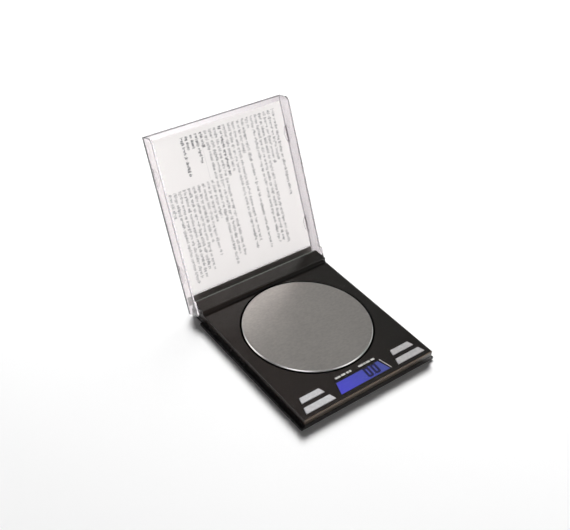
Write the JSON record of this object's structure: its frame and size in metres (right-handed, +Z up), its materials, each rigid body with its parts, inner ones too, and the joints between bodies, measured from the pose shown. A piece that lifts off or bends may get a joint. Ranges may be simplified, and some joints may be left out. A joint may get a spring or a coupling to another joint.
{
  "type": "digital gram scale",
  "caption": "Slim folding pocket scale with a clear hinged lid, round metal weighing pan, lit display and side keys.",
  "frame": {"origin": "on the supporting surface, at the middle of the open scale's bounding box seen from above", "axes": "+X to the right along the lid's hinge, +Y from the display edge towards the hinge, +Z up"},
  "size_m": [0.125, 0.2044, 0.1308],
  "materials": {
    "clear_plastic": "clear moulded plastic, light haze, glossy",
    "paper": "matt printed paper",
    "lid_band": "dark satin strip",
    "tray_plastic": "black satin plastic",
    "cover_plastic": "brownish black satin plastic",
    "brushed_steel": "fine brushed stainless steel",
    "screw_steel": "plated steel",
    "aluminium": "machined aluminium",
    "carrier_plastic": "dark grey plastic",
    "circuit_board": "green solder mask",
    "chip_plastic": "black moulding",
    "gauge_coating": "white coating compound",
    "display_blue": "blue lit liquid crystal display",
    "light_guide": "milky light guide",
    "zebra_rubber": "striped elastomer",
    "key_silver": "silver painted plastic",
    "foot_rubber": "black rubber",
    "battery_jacket": "dark printed jacket on steel",
    "lead_red": "red insulation",
    "lead_black": "black insulation",
    "lead_grey": "grey insulation"
  },
  "bodies": {
    "case": {"base_tray": "tray_plastic", "battery_cell_left": "battery_jacket", "battery_cell_right": "battery_jacket", "battery_lead_black": "lead_black", "battery_lead_red": "lead_red", "board_screw_left": "screw_steel", "board_screw_right": "screw_steel", "case_screw_front_left": "screw_steel", "case_screw_front_right": "screw_steel", "case_screw_rear_left": "screw_steel", "case_screw_rear_right": "screw_steel", "contact_plate": "screw_steel", "contact_spring": "screw_steel", "controller_chip": "chip_plastic", "display_backlight": "light_guide", "display_glass": "display_blue", "display_window": "clear_plastic", "load_cell": "aluminium", "load_cell_lead": "lead_grey", "load_cell_screw_1": "screw_steel", "load_cell_screw_2": "screw_steel", "main_board": "circuit_board", "rubber_foot_front_left": "foot_rubber", "rubber_foot_front_right": "foot_rubber", "rubber_foot_rear_left": "foot_rubber", "rubber_foot_rear_right": "foot_rubber", "strain_gauge_bottom": "gauge_coating", "strain_gauge_top": "gauge_coating", "tact_switch_left_front": "chip_plastic", "tact_switch_left_rear": "chip_plastic", "tact_switch_right_front": "chip_plastic", "tact_switch_right_rear": "chip_plastic", "top_cover": "cover_plastic", "zebra_strip": "zebra_rubber"},
    "lid": {"lid": "clear_plastic", "instruction_sheet": "paper", "lid_dark_band": "lid_band"},
    "pan": {"weighing_pan": "brushed_steel", "pan_carrier": "carrier_plastic", "carrier_screw_1": "screw_steel", "carrier_screw_2": "screw_steel"},
    "key_left_rear": {"key_left_rear": "key_silver"},
    "key_left_front": {"key_left_front": "key_silver"},
    "key_right_rear": {"key_right_rear": "key_silver"},
    "key_right_front": {"key_right_front": "key_silver"},
    "battery_door": {"battery_door": "tray_plastic"}
  },
  "joints": [
    {"name": "lid_hinge", "type": "hinge", "parent": "case", "child": "lid", "pos_m": [0, 0.0356, 0.0074], "axis": [-1, 0, 0], "range_deg": [-115.5, 0]},
    {"name": "pan_travel", "type": "slide", "parent": "case", "child": "pan", "axis": [0, 0, 1], "range_m": [-0.00025, 0], "stiffness_N_per_m": 20000, "springref_m": 0.00005, "deforming": ["load_cell"]},
    {"name": "key_left_rear_press", "type": "slide", "parent": "case", "child": "key_left_rear", "axis": [0, 0, 1], "range_m": [-0.0003, 0], "stiffness_N_per_m": 4000, "springref_m": 0.00005},
    {"name": "key_left_front_press", "type": "slide", "parent": "case", "child": "key_left_front", "axis": [0, 0, 1], "range_m": [-0.0003, 0], "stiffness_N_per_m": 4000, "springref_m": 0.00005},
    {"name": "key_right_rear_press", "type": "slide", "parent": "case", "child": "key_right_rear", "axis": [0, 0, 1], "range_m": [-0.0003, 0], "stiffness_N_per_m": 4000, "springref_m": 0.00005},
    {"name": "key_right_front_press", "type": "slide", "parent": "case", "child": "key_right_front", "axis": [0, 0, 1], "range_m": [-0.0003, 0], "stiffness_N_per_m": 4000, "springref_m": 0.00005},
    {"name": "battery_door_hinge", "type": "hinge", "parent": "case", "child": "battery_door", "pos_m": [0, 0.0267, 0.001], "axis": [-1, 0, 0], "range_deg": [0, 90]}
  ]
}
